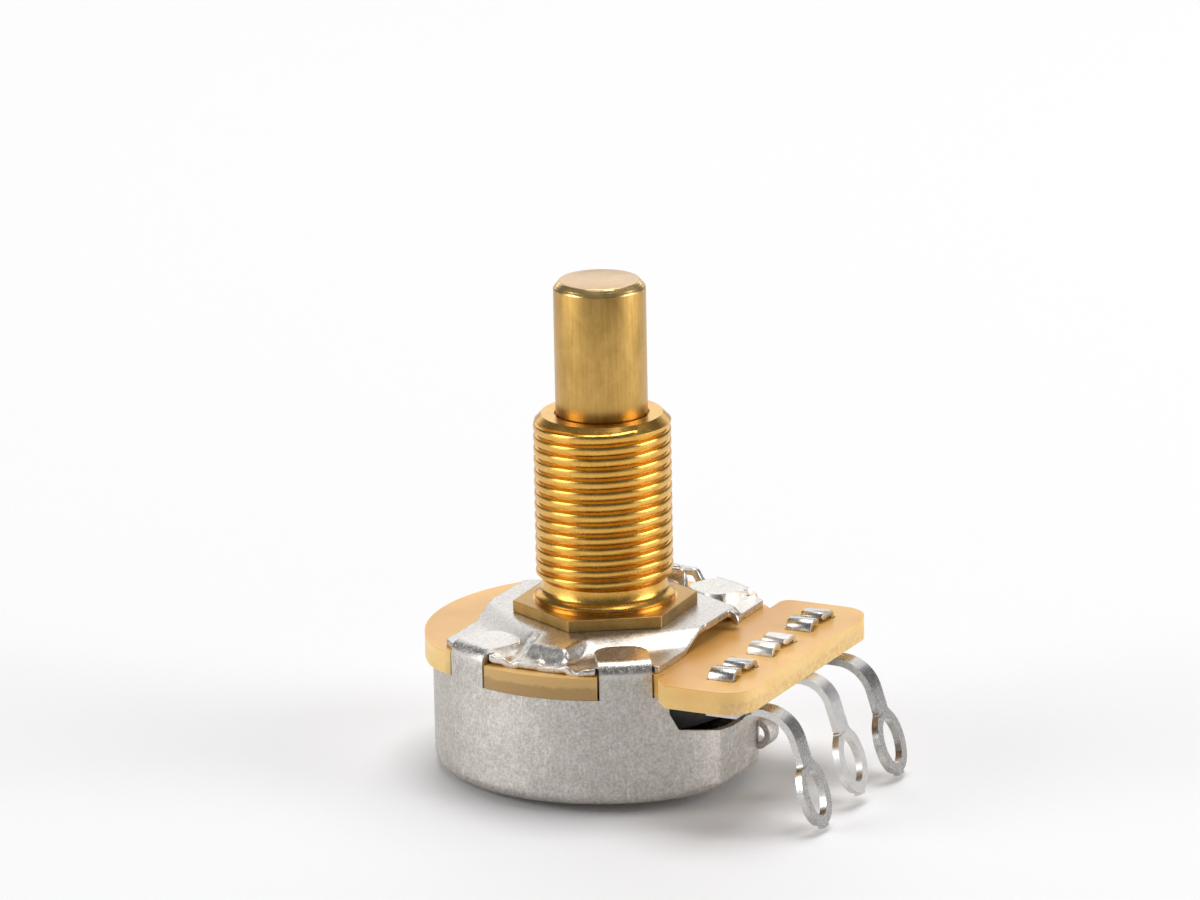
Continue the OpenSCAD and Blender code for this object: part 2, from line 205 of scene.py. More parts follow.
def boolean(obj, other, operation, solver):
    """Joins or cuts obj with other, which is used up."""
    modify(obj, "BOOLEAN", object=other, operation=operation, solver=solver)
    bpy.data.objects.remove(other)
    return obj


def cut(obj, other, solver="EXACT"):
    """Takes other away from obj."""
    return boolean(obj, other, "DIFFERENCE", solver)


def join(obj, other, solver="EXACT"):
    """Adds other to obj."""
    return boolean(obj, other, "UNION", solver)


def cut_plane(obj, at, normal, keep_low=True, fill=True):
    """Cuts obj off on one side of a plane, and closes the cut."""
    edit(obj)
    bpy.ops.mesh.bisect(plane_co=Vector(at) * MM, plane_no=normal, use_fill=fill,
                        clear_outer=keep_low, clear_inner=not keep_low)
    done()
    return obj


def score(obj, positions):
    """Adds cuts across obj at places along Y in millimetres, for later bending."""
    edit(obj)
    for y in positions:
        bpy.ops.mesh.select_all(action="SELECT")
        bpy.ops.mesh.bisect(plane_co=(0, y * MM, 0), plane_no=(0, 1, 0))
    done()
    return obj


def shape(obj, move):
    """Moves every vertex: move takes and returns x, y, z in millimetres."""
    for v in obj.data.vertices:
        v.co = Vector(move(*(v.co / MM))) * MM
    obj.data.update()
    return obj


def soften(obj, width, angle=35, segments=2):
    """Rounds the sharp edges, as tumbling or a worn die leaves them."""
    modify(obj, "BEVEL", width=width * MM, segments=segments, limit_method="ANGLE",
           angle_limit=math.radians(angle))
    return obj


def smooth(obj, angle):
    """Shades over edges that bend by less than the angle, in degrees."""
    only(obj)
    bpy.ops.object.shade_smooth_by_angle(angle=math.radians(angle))
    return obj


def even_shading(obj):
    """Keeps large faces evenly shaded beside their small rounded edges."""
    return modify(obj, "WEIGHTED_NORMAL", keep_sharp=True)


def twin(node, name):
    """A merged copy of a CAD node, with its flat faces made whole."""
    source = frame["nodes"][node]
    obj = bpy.data.objects.new(name, source.data.copy())
    obj.data.name = name
    bpy.context.scene.collection.objects.link(obj)
    obj.data.materials.clear()
    edit(obj)
    bpy.ops.mesh.customdata_custom_splitnormals_clear()
    bpy.ops.mesh.remove_doubles(threshold=1e-6)
    bpy.ops.mesh.dissolve_limited(angle_limit=math.radians(0.4))
    done()
    return obj


def rod(x, y, z0, z1, radius, vertices=64, scale=(1, 1)):
    """An upright round or oval cutter."""
    bpy.ops.mesh.primitive_cylinder_add(
        vertices=vertices, radius=radius * MM, depth=(z1 - z0) * MM,
        location=(x * MM, y * MM, (z0 + z1) / 2 * MM))
    obj = bpy.context.object
    obj.scale = (scale[0], scale[1], 1)
    return settle(obj)


def arc(x, y, radius, start, end, count):
    """Points in millimetres on an arc, between two angles in degrees."""
    turns = [math.radians(start + (end - start) * k / count) for k in range(count + 1)]
    return [(x + radius * math.cos(a), y + radius * math.sin(a)) for a in turns]


def cross_rod(x0, x1, y, z, radius):
    """A round cutter that lies along X."""
    bpy.ops.mesh.primitive_cylinder_add(
        vertices=48, radius=radius * MM, depth=(x1 - x0) * MM,
        location=((x0 + x1) / 2 * MM, y * MM, z * MM), rotation=(0, math.pi / 2, 0))
    return settle(bpy.context.object)


def tab_openings(radius, z0, z1, play):
    """Cutters for the four tabs, outside the given radius."""
    outside = 15
    half = math.degrees(math.asin((TAB_W / 2 + play) / radius))
    for angle in TAB_ANGLES:
        near = arc(0, 0, radius, angle - half, angle + half, 8)
        far = arc(0, 0, outside, angle + half, angle - half, 1)
        yield slab("opening", near + far, z0, z1 - z0)


def block(lo, hi):
    """A square cutter between two corners."""
    bpy.ops.mesh.primitive_cube_add(size=1)
    obj = bpy.context.object
    obj.scale = [(b - a) * MM for a, b in zip(lo, hi)]
    obj.location = [(a + b) / 2 * MM for a, b in zip(lo, hi)]
    return settle(obj)


def fit(obj, finish, body, slot, *nodes):
    """Gives a finished piece its material and body, and hides the CAD nodes it stands for; the slot is
    not used.
    """
    obj.data.materials.clear()
    obj.data.materials.append(finish)
    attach(obj, body)
    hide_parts(*nodes)
    return obj


def ease(x):
    """0 below 0, 1 above 1, and a smooth rise between."""
    t = min(1.0, max(0.0, x))
    return t * t * (3 - 2 * t)


# Shader helpers
class Value:
    """A socket that takes part in Python sums. Each sum adds its Math node."""

    def __init__(self, finish, socket):
        self.finish = finish
        self.socket = socket

    def _sum(self, operation, *values, clamp=False):
        settings = {"operation": operation, "use_clamp": clamp}
        return self.finish.node("ShaderNodeMath", settings, dict(enumerate(values)))

    def __add__(self, other):
        return self._sum("ADD", self, other)

    def __radd__(self, other):
        return self._sum("ADD", other, self)

    def __sub__(self, other):
        return self._sum("SUBTRACT", self, other)

    def __rsub__(self, other):
        return self._sum("SUBTRACT", other, self)

    def __mul__(self, other):
        return self._sum("MULTIPLY", self, other)

    def __rmul__(self, other):
        return self._sum("MULTIPLY", other, self)

    def clamped(self):
        return self._sum("ADD", self, 0.0, clamp=True)

    def root(self):
        return self._sum("SQRT", self)

    def sine(self):
        return self._sum("SINE", self)


class Finish:
    """A material under construction."""

    def __init__(self, name):
        self.material = bpy.data.materials.new(name)
        self.material.use_nodes = True
        self.tree = self.material.node_tree
        self.shader = self.tree.nodes["Principled BSDF"]
        self.place = self.node("ShaderNodeTexCoord", {}, {}, "Object")

    def node(self, kind, settings, inputs, output=0):
        """Adds a node: first its settings, then the values or links of its sockets."""
        made = self.tree.nodes.new(kind)
        for key, value in settings.items():
            setattr(made, key, value)
        for key, value in inputs.items():
            self.connect(value, made.inputs[key])
        return Value(self, made.outputs[output])

    def connect(self, value, socket):
        """Links a Value to a socket, or sets the socket to a number or a colour."""
        if isinstance(value, Value):
            self.tree.links.new(value.socket, socket)
        else:
            socket.default_value = value

    def set(self, **inputs):
        """Feeds sockets of the shader, named with _ for a space."""
        for key, value in inputs.items():
            name = key.replace("_", " ")
            self.connect(value, self.shader.inputs[name])

    def stretch(self, factors):
        """Object coordinates in millimetres, scaled along each axis."""
        scale = [f / MM for f in factors]
        return self.node("ShaderNodeMapping", {}, {0: self.place, 3: scale})

    def noise(self, factors, detail=2.0, rough=0.5, twist=0.0):
        """Noise of about one feature per millimetre at a factor of 1."""
        return self.node("ShaderNodeTexNoise", {"noise_dimensions": "3D"}, {
            0: self.stretch(factors), 2: 1.0, 3: detail, 4: rough, 8: twist})

    def axis(self, name):
        """X, Y or Z in millimetres."""
        return self.node("ShaderNodeSeparateXYZ", {}, {0: self.stretch((1, 1, 1))}, name)

    def between(self, value, start, end):
        """Maps start..end of value onto 0..1, held at both ends."""
        return self.node("ShaderNodeMapRange", {"clamp": True}, {0: value, 1: start, 2: end})

    def spread(self, value, half=0.2):
        """Widens the middle of a noise to the whole of 0..1."""
        return self.between(value, 0.5 - half, 0.5 + half)

    def mix(self, factor, first, second):
        """Mixes two colours, each a Value or its red, green and blue."""
        first, second = ((*c, 1) if isinstance(c, tuple) else c for c in (first, second))
        return self.node("ShaderNodeMix", {"data_type": "RGBA"}, {
            0: factor, 6: first, 7: second}, 2)

    def bump(self, height, depth):
        """Relief of the given depth in millimetres."""
        return self.node("ShaderNodeBump", {}, {0: 1.0, 1: depth * MM, "Height": height})


def tin_finish(name, pale, dark, rough, gloss_spread, grain_depth, paler_above=FAR_OFF):
    """Plated steel sheet: a fine grain, cloudy stains and scratches, paler and glossier above a height.
    """
    f = Finish(name)
    grain = f.noise((5, 5, 5), 3, 0.65)
    cloud = f.noise((0.32, 0.32, 0.5), 3, 0.6, 0.4)
    spots = f.noise((1.7, 1.7, 1.7), 3, 0.65)
    scratch_a = f.noise((0.7, 7, 9), 2, 0.5, 1.4)
    scratch_b = f.noise((8, 6, 0.6), 2, 0.5, 1.6)
    lines = f.between(scratch_a, 0.62, 0.68) + f.between(scratch_b, 0.62, 0.68)
    tone = (f.spread(grain, 0.14) * 0.55 + f.spread(cloud) * 0.2
            + f.spread(spots, 0.14) * 0.25)
    colour = f.mix(tone, dark, pale)
    # Paler and glossier above the given height; on the can this takes in the tops of its tabs.
    upper_band = f.between(f.axis("Z"), paler_above - 0.7, paler_above)
    colour = f.mix(upper_band * 0.6, colour, (0.84, 0.81, 0.77))
    colour = f.mix((lines * 0.35).clamped(), colour, (0.9, 0.89, 0.87))
    relief = grain * 0.6 + spots * 0.4 + lines * 0.25
    f.set(Base_Color=colour, Metallic=1.0,
          Roughness=(rough + gloss_spread * (tone - 0.5) - lines * 0.06 - upper_band * 0.2),
          Normal=f.bump(relief, grain_depth))
    return f.material


def shaft_finish():
    """Drawn brass with lengthwise streaks, and a turned top with concentric marks."""
    f = Finish("drawn_brass")
    x, y, z = f.axis("X"), f.axis("Y"), f.axis("Z")
    radius = (x * x + y * y).root()
    on_top = f.between(z, SHAFT_TOP - SHAFT_CHAMFER - 0.03, SHAFT_TOP - SHAFT_CHAMFER + 0.01)
    on_face = f.between(z, SHAFT_TOP - 0.06, SHAFT_TOP - 0.03)
    streak = f.noise((5, 5, 0.25), 3, 0.6)
    fine = f.noise((16, 16, 0.9), 2, 0.5)
    stain = f.noise((0.8, 0.8, 0.45), 4, 0.65, 0.6)
    pits = f.noise((4, 4, 3), 3, 0.7)
    marks = f.between(pits, 0.64, 0.74)
    tone = f.spread(streak) * 0.4 + f.spread(stain) * 0.6
    side = f.mix(tone, (0.44, 0.26, 0.065), (0.70, 0.44, 0.14))
    side = f.mix(marks * 0.5, side, (0.30, 0.17, 0.05))
    turned = f.mix(f.spread(stain, 0.15), (0.62, 0.43, 0.25), (0.72, 0.52, 0.32))
    colour = f.mix(on_top, side, (0.93, 0.66, 0.28))
    colour = f.mix(on_face, colour, turned)
    rings = (radius * 46.0 + f.noise((0.6, 0.6, 0.6)) * 6.0).sine() * 0.5 + 0.5
    relief = (1 - on_top) * (streak * 0.5 + fine * 0.5 - marks * 0.8) + on_top * rings * 0.55
    f.set(Base_Color=colour, Metallic=1.0, Normal=f.bump(relief, 0.006),
          Roughness=0.30 + f.spread(stain) * 0.10 - on_top * 0.10 + on_face * 0.08)
    return f.material


def bushing_finish():
    """Turned yellow brass with tool marks around the axis."""
    f = Finish("turned_brass")
    x, y, z = f.axis("X"), f.axis("Y"), f.axis("Z")
    radius = (x * x + y * y).root()
    on_hex = f.between(radius, 4.95, 5.02)
    face = f.between(z, HEX_TOP - 0.04, HEX_TOP - 0.02)
    stain = f.noise((0.7, 0.7, 0.7), 3, 0.6, 0.4)
    grit = f.noise((6, 6, 6), 2, 0.6)
    nicks = f.between(f.noise((3.1, 3.1, 3.1), 3, 0.7), 0.66, 0.74)
    rings = f.noise((0.35, 0.35, 13), 2, 0.5)
    tone = f.spread(stain) * 0.6 + f.spread(grit) * 0.4
    thread = f.mix(tone, (0.64, 0.34, 0.06), (0.86, 0.52, 0.13))
    plate = f.mix(tone, (0.42, 0.245, 0.07), (0.62, 0.39, 0.13))
    colour = f.mix(on_hex, thread, plate)
    colour = f.mix(nicks * 0.6, colour, (0.36, 0.22, 0.09))
    mill = f.noise((9, 9, 0.5), 2, 0.5)
    relief = (1 - on_hex) * rings * 0.5 + on_hex * (1 - face) * mill * 0.8 + grit * 0.25 - nicks * 0.5
    f.set(Base_Color=colour, Metallic=1.0, Normal=f.bump(relief, 0.006),
          Roughness=0.22 + f.spread(stain) * 0.08 + on_hex * 0.12)
    return f.material


def laminate_finish():
    """Amber laminate: translucent, cloudy, with a rougher fibrous lower band on its edges, and painted
    shade on its top by the plate's bridge and on its edge towards -X.
    """
    f = Finish("amber_laminate")
    z = f.axis("Z")
    edge = f.between(z, WAFER_TOP - 0.03, WAFER_TOP - 0.07)
    ragged = f.noise((1.3, 1.3, 1.3), 3, 0.7)
    lower = f.between(z + ragged * 0.7, WAFER_TOP - 0.30, WAFER_TOP - 0.50)
    y = f.axis("Y")
    cloud = f.noise((0.22, 0.22, 0.5), 3, 0.55, 0.3)
    grains = f.noise((3.4, 3.4, 3.4), 3, 0.7)
    speck = f.noise((5, 5, 5), 2, 0.6)
    end = f.between(y, low("wafer", 1) + 2.4, low("wafer", 1) + 1.2)
    # Where the wafer's edge lies past x = -9.5 towards -X, from about y = -8 on, it gets painted shade.
    window = f.between(f.axis("X"), -9.3, -9.8) * f.between(y, -8.4, -8.0)
    rough_band = lower * (end * 0.85 + 0.15)
    top = f.mix(f.spread(cloud), (0.76, 0.41, 0.10), (0.87, 0.52, 0.165))
    side = f.mix(f.spread(grains, 0.15), (0.80, 0.48, 0.15), (0.92, 0.66, 0.32))
    smooth_side = f.mix(f.spread(cloud), (0.88, 0.55, 0.17), (0.98, 0.68, 0.27))
    # Painted shadow of the plate's bridge: the top turns deep orange along the plate's -Y edge and fades
    # out along the tail.
    painted_bridge_shadow = f.between(y, -12.2, -8.4) * f.between(y, -7.9, -8.3)
    top = f.mix(painted_bridge_shadow * 0.7, top, (0.62, 0.28, 0.055))
    colour = f.mix(edge, top, f.mix(rough_band, smooth_side, side))
    # Painted shade on that edge: a darker brown, darkest on its lower band.
    painted_edge_shade = f.mix(lower, (0.66, 0.42, 0.15), (0.47, 0.28, 0.095))
    colour = f.mix(edge * window, colour, painted_edge_shade)
    colour = f.mix(f.between(speck, 0.62, 0.72) * 0.12, colour, (0.55, 0.33, 0.12))
    relief = rough_band * grains + speck * 0.12
    f.set(Base_Color=colour, Roughness=0.30 + rough_band * 0.25 + f.spread(cloud) * 0.06,
          Normal=f.bump(relief, 0.05))
    f.shader.inputs["Subsurface Weight"].default_value = 0.25
    f.shader.inputs["Subsurface Radius"].default_value = (1.0, 0.45, 0.12)
    f.shader.inputs["Subsurface Scale"].default_value = 1.4 * MM
    f.shader.inputs["IOR"].default_value = 1.5
    return f.material


def ink_finish(name, dark, pale, metal, rough):
    """Printed ink with a grainy surface."""
    f = Finish(name)
    grain = f.noise((9, 9, 9), 3, 0.6)
    worn = f.noise((0.5, 0.5, 0.5), 2, 0.5)
    f.set(Base_Color=f.mix(f.spread(grain), dark, pale), Metallic=metal,
          Roughness=rough + f.spread(worn) * 0.12, Normal=f.bump(grain, 0.004))
    return f.material


def moulding_finish():
    """Black moulded plastic with faint flow marks."""
    f = Finish("black_moulding")
    grain = f.noise((5, 5, 5), 3, 0.6)
    flow = f.noise((0.3, 1.2, 0.6), 3, 0.6, 1.2)
    f.set(Base_Color=f.mix(f.spread(flow), (0.012, 0.012, 0.013), (0.03, 0.028, 0.027)),
          Roughness=0.38 + f.spread(grain) * 0.16, Normal=f.bump(grain, 0.006))
    return f.material


can_tin = tin_finish("plated_sheet", (0.78, 0.74, 0.69), (0.40, 0.37, 0.335), 0.50, 0.12, 0.020, FOOT_TOP)
plate_tin = tin_finish("bright_plated_sheet", (0.84, 0.81, 0.77), (0.50, 0.475, 0.44), 0.33, 0.14, 0.012)
lug_tin = tin_finish("lug_tin", (0.70, 0.685, 0.665), (0.54, 0.525, 0.505), 0.28, 0.08, 0.002)
lug_silver = tin_finish("lug_silver", (0.88, 0.865, 0.84), (0.74, 0.725, 0.70), 0.36, 0.08, 0.003)
steel = tin_finish("bare_steel", (0.60, 0.60, 0.61), (0.38, 0.38, 0.39), 0.30, 0.12, 0.006)
bronze = tin_finish("spring_bronze", (0.78, 0.56, 0.30), (0.52, 0.36, 0.18), 0.26, 0.10, 0.006)
drawn_brass = shaft_finish()
turned_brass = bushing_finish()
laminate = laminate_finish()
carbon = ink_finish("carbon_ink", (0.010, 0.010, 0.011), (0.035, 0.034, 0.034), 0.0, 0.45)
silver_ink = ink_finish("silver_ink", (0.52, 0.51, 0.49), (0.80, 0.79, 0.76), 0.9, 0.36)
moulding = moulding_finish()


# Bushing
def threaded_rod():
    """One pitch of the thread's profile wound up the bushing, then turned down at both ends."""
    form = [(0.0, 1.0), (0.05, 0.84), (0.13, 0.34), (0.21, 0.12), (0.34, 0.035), (0.5, 0.0),
            (0.66, 0.035), (0.79, 0.12), (0.87, 0.34), (0.95, 0.84), (1.0, 1.0)]
    start = NECK_TOP - 1.3 * PITCH
    turns = math.ceil((BUSH_TOP - start) / PITCH) + 1
    obj = path("bushing_body", [(BUSH_R - THREAD_DEPTH * d, 0, start + t * PITCH) for t, d in form])
    modify(obj, "SCREW", axis="Z", steps=96, render_steps=96, angle=2 * math.pi,
           screw_offset=PITCH * MM, iterations=turns)
    outward(obj)
    cut_plane(obj, (0, 0, BUSH_TOP + 0.2), (0, 0, 1), fill=False)
    cut_plane(obj, (0, 0, NECK_TOP - 0.1), (0, 0, 1), keep_low=False, fill=False)
    edit(obj)
    bpy.ops.mesh.fill_holes(sides=0)
    done()
    outward(obj)
    chamfer = 0.56
    outside = BUSH_R + 0.02
    turned = lathe("turned_ends", [
        (0, NECK_TOP), (NECK_R, NECK_TOP), (outside, NECK_TOP + 0.45),
        (outside, BUSH_TOP - chamfer - 0.02), (BUSH_R - chamfer, BUSH_TOP), (0, BUSH_TOP)], 192)
    boolean(obj, turned, "INTERSECT", "MANIFOLD")
    return obj


def bushing():
    """The threaded body on its base and hexagon, with the bore for the shaft."""
    foot = WAFER_TOP + 0.55
    body = threaded_rod()
    base = lathe("bushing_base", [
        (0, foot), (BUSH_R - 0.02, foot), (BUSH_R - 0.02, DECK_TOP - SHEET), (4.2, DECK_TOP - SHEET),
        (4.2, DECK_TOP + 0.2), (4.78, DECK_TOP + 0.3), (4.78, HEX_TOP + 0.16),
        (4.86, HEX_TOP + 0.24), (4.87, HEX_TOP + 0.36), (4.78, HEX_TOP + 0.47),
        (4.58, HEX_TOP + 0.58), (4.40, HEX_TOP + 0.74), (NECK_R + 0.02, HEX_TOP + 0.92),
        (NECK_R + 0.01, HEX_TOP + 1.52), (0, HEX_TOP + 1.52)], 96)
    bpy.ops.mesh.primitive_cylinder_add(
        vertices=6, radius=HEX_AF / math.sqrt(3) * MM, depth=(HEX_TOP - DECK_TOP) * MM,
        location=(0, 0, (HEX_TOP + DECK_TOP) / 2 * MM),
        rotation=(0, 0, math.radians(30 + HEX_TURN)))
    flange = settle(bpy.context.object)
    soften(flange, 0.07, 20, 3)
    join(base, flange)
    join(body, base)
    bore = lathe("bore", [
        (0, foot - 1), (BORE_R, foot - 1), (BORE_R, BUSH_TOP - 0.22), (BORE_R + 0.24, BUSH_TOP),
        (BORE_R + 0.34, BUSH_TOP + 0.1), (0, BUSH_TOP + 0.1)], 192)
    cut(body, bore)
    smooth(body, 34)
    even_shading(body)
    return fit(body, turned_brass, "housing", "yellow_brass", "bushing")


# Shaft and inner pieces
def shaft():
    """The CAD shaft, with its shoulder lowered into the mouth of the bore."""
    obj = twin("shaft", "shaft_body")
    shoulder = BUSH_TOP + 0.1
    drop = 0.07
    shape(obj, lambda x, y, z: (x, y, z - drop if abs(z - shoulder) < 0.02 else z))
    soften(obj, 0.035, 25, 2)
    smooth(obj, 30)
    return fit(obj, drawn_brass, "spindle", "pale_brass", "shaft")


def inner_pieces():
    """Four finished CAD meshes, and the ink prints as they are."""
    for node, name, width, finish, body, slot in (
            ("rotor", "rotor_body", 0.06, moulding, "spindle", "black_moulding"),
            ("contact_spring", "spring_blade", 0.03, bronze, "spindle", "spring_bronze"),
            ("retaining_ring", "retaining_clip", 0.04, steel, "spindle", "bare_steel"),
            ("thrust_washer", "washer_disc", 0.03, steel, "housing", "bare_steel")):
        obj = twin(node, name)
        soften(obj, width, 35, 2)
        smooth(obj, 35)
        fit(obj, finish, body, slot, node)
    for node, finish in (("resistive_track", carbon), ("end_pad_left", silver_ink),
                         ("end_pad_right", silver_ink), ("collector_ring", silver_ink)):
        mesh = frame["nodes"][node].data
        mesh.materials.clear()
        mesh.materials.append(finish)


# Can
CAN_CORNER = 0.9
FLAT_Y = CAN_R - 1.01
FLAT_SIDE = CAN_R - 1.5
FLAT_TURN = 24.5


def round_under_flat(obj, distance, turn):
    """Rounds the bottom edge along a flattened wall like the rest of the rim."""
    a = math.radians(turn)
    nx, ny = math.sin(a), -math.cos(a)
    edit(obj)
    for part in (0.15, 0.35, 0.55, 0.75, 0.9):
        away = distance - CAN_CORNER * (1 - part)
        for at, normal in (((nx * away, ny * away, 0), (nx, ny, 0)),
                           ((0, 0, CAN_CORNER * (1 - part)), (0, 0, 1))):
            bpy.ops.mesh.select_all(action="SELECT")
            bpy.ops.mesh.bisect(plane_co=Vector(at) * MM, plane_no=normal)
    done()

    def roll(x, y, z):
        out = x * nx + y * ny - (distance - CAN_CORNER)
        under = CAN_CORNER - z
        far = math.hypot(out, under)
        if out <= 0 or under <= 0 or far <= CAN_CORNER:
            return x, y, z
        back = out * (1 - CAN_CORNER / far)
        return x - nx * back, y - ny * back, CAN_CORNER - under * CAN_CORNER / far

    return shape(obj, roll)


def wall_strap():
    """The strap pressed out of the wall, open at its two sides."""
    y, z = -10.84, 2.45
    outer_r, inner_r = 1.08, 0.62
    strap = cross_rod(1.05, 2.5, y, z, outer_r)
    cut(strap, cross_rod(0.5, 3.0, y - 0.02, z, inner_r), "MANIFOLD")
    cut(strap, block((0, y + 0.35, 0), (4, y + 3, 6)), "MANIFOLD")
    return strap


def can():
    """The CAD can with a modelled strap, and with its flats rounded at the bottom."""
    obj = twin("can", "can_shell")
    wall = -FLAT_Y - 0.001
    cut(obj, block((-1.4, -14, 0.9), (1.4, wall, 6.4)), "MANIFOLD")
    join(obj, block((-1.2, wall, 1.6), (1.2, -FLAT_Y + 0.49, 4.14)), "MANIFOLD")
    round_under_flat(obj, FLAT_Y, 0)
    round_under_flat(obj, FLAT_SIDE, FLAT_TURN)
    soften(obj, 0.07, 32, 2)
    strap = wall_strap()
    soften(strap, 0.08, 35, 3)
    join(obj, strap, "MANIFOLD")
    smooth(obj, 38)
    even_shading(obj)
    return fit(obj, can_tin, "housing", "plated_sheet", "can")


# Plate
def plate_height(x, y):
    """Height of the plate's top face above the wafer's top, in millimetres."""
    side = min(1.0, max(0.0, (abs(y) - 2.2) / 5.9))
    left_foot = -9.2 + 5.0 * side ** 1.4
    left_top = -6.4 + (5.5 if y < 0 else 4.9) * side
    right_foot = 8.15 - 3.1 * side
    right_top = 6.65 - 3.1 * side
    rise_left = ease((x - left_foot) / (left_top - left_foot))
    rise_right = ease((right_foot - x) / (right_foot - right_top))
    deck = min(rise_left, rise_right)
    skew = 0.17 * (y + 0.4)
    front = ease((x + 10.75 - skew) / 1.35)
    flank = ease((y + 2.45) / 0.7) * ease((1.5 - y) / 0.6)
    rib = front * flank
    rise = DECK_RISE * max(deck, (1 - (1 - deck) * (1 - rib)))
    lip = ease((-9.5 - x) / 1.3)
    wave = 0.10 * math.sin(2.1 * y + 0.6) + 0.08 * math.sin(5.3 * y + 1.9)
    dent = -0.22 * math.exp(-((y + 3.1) ** 2) / 0.3) + 0.20 * math.exp(-((y + 4.3) ** 2) / 0.4)
    curl = 0.16 * math.exp(-((y - 2.9) ** 2) / 0.8)
    trough = -0.10 * math.exp(-((x + 9.2) ** 2 / 2.5 + (y + 3.4) ** 2 / 0.9))
    return SHEET + rise + lip * (wave + dent + curl) * (1 - 0.6 * flank) + trough


def locating_lug():
    """The upright lug on +X, with its two top corners rounded."""
    obj = block((7.38, -2.5, WAFER_TOP + 0.05), (7.92, 1.7, KEY_TOP))
    edit(obj)
    bpy.ops.mesh.select_all(action="DESELECT")
    done()
    for edge in obj.data.edges:
        start, end = (obj.data.vertices[i].co for i in edge.vertices)
        at_top = min(start.z, end.z) > (KEY_TOP - 0.01) * MM
        edge.select = at_top and abs(start.y - end.y) < 1e-6
    only(obj)
    bpy.ops.object.mode_set(mode="EDIT")
    bpy.ops.mesh.bevel(offset=0.9 * MM, segments=8, affect="EDGES")
    done()
    return obj


def bent_prong():
    """The small prong at the plate's edge towards the lugs, drawn from the side and stood up."""
    side_view = [(-8.0, 10.05), (-8.0, 10.58), (-8.2, 10.56), (-8.55, 10.4), (-8.78, 10.1),
                 (-8.85, 9.7), (-8.75, 9.5), (-8.5, 9.52), (-8.38, 9.8), (-8.2, 10.02)]
    obj = slab("prong", side_view, 2.7, 0.6)
    shape(obj, lambda x, y, z: (z, x, y))
    return outward(obj)


def plate():
    """The mounting plate: one bent sheet, cut out, with its lug and its prong."""
    reach = CAN_R - 0.35
    cell = 0.2
    centre_r = 4.15
    under, over = 5, 20
    half_x = CAN_R - 0.85
    half_y = PLATE_W / 2
    bpy.ops.mesh.primitive_grid_add(x_subdivisions=int(2 * half_x / cell),
                                    y_subdivisions=int(2 * half_y / cell), size=2 * MM)
    obj = named(bpy.context.object, "plate_sheet")
    obj.scale = (half_x, half_y, 1)
    settle(obj)
    shape(obj, lambda x, y, z: (x, y, WAFER_TOP + plate_height(x, y)))
    modify(obj, "SOLIDIFY", thickness=SHEET * MM, offset=-1, use_even_offset=True)
    outward(obj)
    ring = rod(0, 0, under, over, 30, 96)
    cut(ring, rod(0, 0, under - 1, over + 1, reach, 128))
    cut(obj, ring, "MANIFOLD")
    cut(obj, rod(0, 0, under, over, centre_r, 64), "MANIFOLD")
    for opening in tab_openings(CAN_R - 0.95, 7, 12, 0.12):
        cut(obj, opening, "MANIFOLD")
    cut(obj, block((7.913, -2.517, under), (10.53, 1.719, 14)), "MANIFOLD")
    join(obj, locating_lug(), "MANIFOLD")
    join(obj, bent_prong(), "MANIFOLD")
    modify(obj, "REMESH", mode="VOXEL", voxel_size=0.1 * MM)
    modify(obj, "SMOOTH", factor=0.5, iterations=3)
    smooth(obj, 180)
    return fit(obj, plate_tin, "housing", "bright_plated_sheet", "mounting_plate")


# Wafer
def lobe_radius(angle):
    """The round lobe stands out past the can and dies into it at the rear tabs."""
    first, last, run, reach = 43.0, 142.5, 13.0, 0.54
    near_tab = min(angle - first, last - angle)
    return CAN_R + reach * ease(near_tab / run) ** 0.5


def wafer():
    """The board: a round body, a lobe at the back and a tail with six slots."""
    floor_z, end_y, half = low("wafer", 2), low("wafer", 1), 10.65
    thick = WAFER_TOP - floor_z
    obj = named(rod(0, 0, floor_z, WAFER_TOP, CAN_R - 0.02, 192), "wafer_board")
    lobe = [(0, 4.0)] + [arc(0, 0, lobe_radius(a), a, a, 1)[0] for a in range(41, 145)]
    join(obj, slab("lobe", lobe, floor_z, thick), "MANIFOLD")
    rear, front, rear_y = 0.8, 2.2, -8.6
    tail = arc(half - rear, rear_y - rear, rear, 0, 90, 10)
    tail += arc(rear - half, rear_y - rear, rear, 90, 180, 10)
    tail += arc(front - half, end_y + front, front, 180, 270, 16)
    tail += arc(half - front, end_y + front, front, 270, 360, 16)
    join(obj, slab("tail", tail, floor_z, thick), "MANIFOLD")
    for opening in tab_openings(CAN_R - 0.9, floor_z - 1, WAFER_TOP + 1, 0.01):
        cut(obj, opening, "MANIFOLD")
    cut(obj, rod(0, 0, floor_z - 1, WAFER_TOP + 1, 4.9, 96), "MANIFOLD")
    slot_half = 0.275
    for x in (-LUG_PITCH, 0, LUG_PITCH):
        for side in (-1, 1):
            middle = x + side * EAR_X
            slot = block((middle - slot_half, end_y + 1.82, floor_z - 1),
                         (middle + slot_half, end_y + 3.88, WAFER_TOP + 1))
            cut(obj, slot, "MANIFOLD")
    soften(obj, 0.06, 35, 3)
    smooth(obj, 35)
    even_shading(obj)
    return fit(obj, laminate, "housing", "amber_laminate", "wafer")


